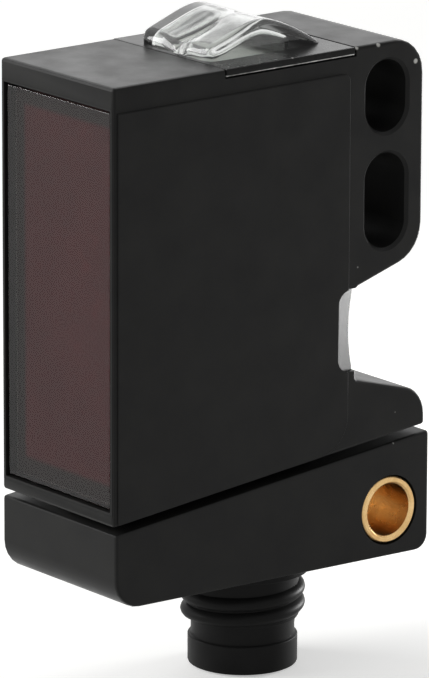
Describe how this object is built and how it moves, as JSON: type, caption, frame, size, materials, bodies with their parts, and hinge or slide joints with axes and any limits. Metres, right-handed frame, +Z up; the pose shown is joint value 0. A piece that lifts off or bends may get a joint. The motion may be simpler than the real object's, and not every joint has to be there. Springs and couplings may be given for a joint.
{
  "type": "reflective optical sensor",
  "caption": "Small black block-shaped photoelectric sensor with a red-tinted front window, clear domed indicator cover, slotted mounting ear, brass bush and round threaded plug.",
  "frame": {"origin": "middle of the whole sensor's bounding box", "axes": "+Z up along the body, away from the plug; the front window faces -Y; the large sides face +X and -X"},
  "size_m": [0.0116, 0.0254, 0.0426],
  "materials": {
    "black_plastic": "fine spark-eroded mould texture, low sheen",
    "carrier_plastic": "matt, to keep stray light down",
    "red_filter": "polished, dark red tint",
    "clear_plastic": "clear polished polycarbonate",
    "turned_brass": "turned, with fine tool marks",
    "tin_plate": "bright sheet",
    "gold_plate": "gold plated, smooth",
    "circuit_board": "solder mask",
    "polyimide_film": "smooth film",
    "chip_body": "moulded",
    "ceramic": "fired ceramic",
    "red_resin": "cast resin",
    "green_resin": "cast resin",
    "yellow_resin": "cast resin",
    "seal_rubber": "matt",
    "lens_acrylic": "clear polished acrylic",
    "wire_sleeve": "smooth insulation"
  },
  "bodies": {
    "root": {"housing": "black_plastic", "base_housing": "black_plastic", "optics_carrier": "carrier_plastic", "contact_carrier": "carrier_plastic", "front_window": "red_filter", "indicator_cover": "clear_plastic", "light_guide": "clear_plastic", "mounting_bush": "turned_brass", "receiver_shield": "tin_plate", "optics_board": "circuit_board", "main_board": "circuit_board", "board_link": "polyimide_film", "processor_chip": "chip_body", "driver_chip": "chip_body", "regulator_chip": "chip_body", "amplifier_chip": "chip_body", "receiver_chip": "chip_body", "emitter_led": "red_resin", "indicator_led_green": "green_resin", "indicator_led_yellow": "yellow_resin", "base_seal": "seal_rubber", "emitter_lens": "lens_acrylic", "receiver_lens": "lens_acrylic", "capacitor_1": "ceramic", "capacitor_2": "ceramic", "capacitor_3": "ceramic", "contact_pin_1": "gold_plate", "lead_1": "wire_sleeve", "contact_pin_2": "gold_plate", "lead_2": "wire_sleeve", "contact_pin_3": "gold_plate", "lead_3": "wire_sleeve", "contact_pin_4": "gold_plate", "lead_4": "wire_sleeve"}
  },
  "joints": []
}
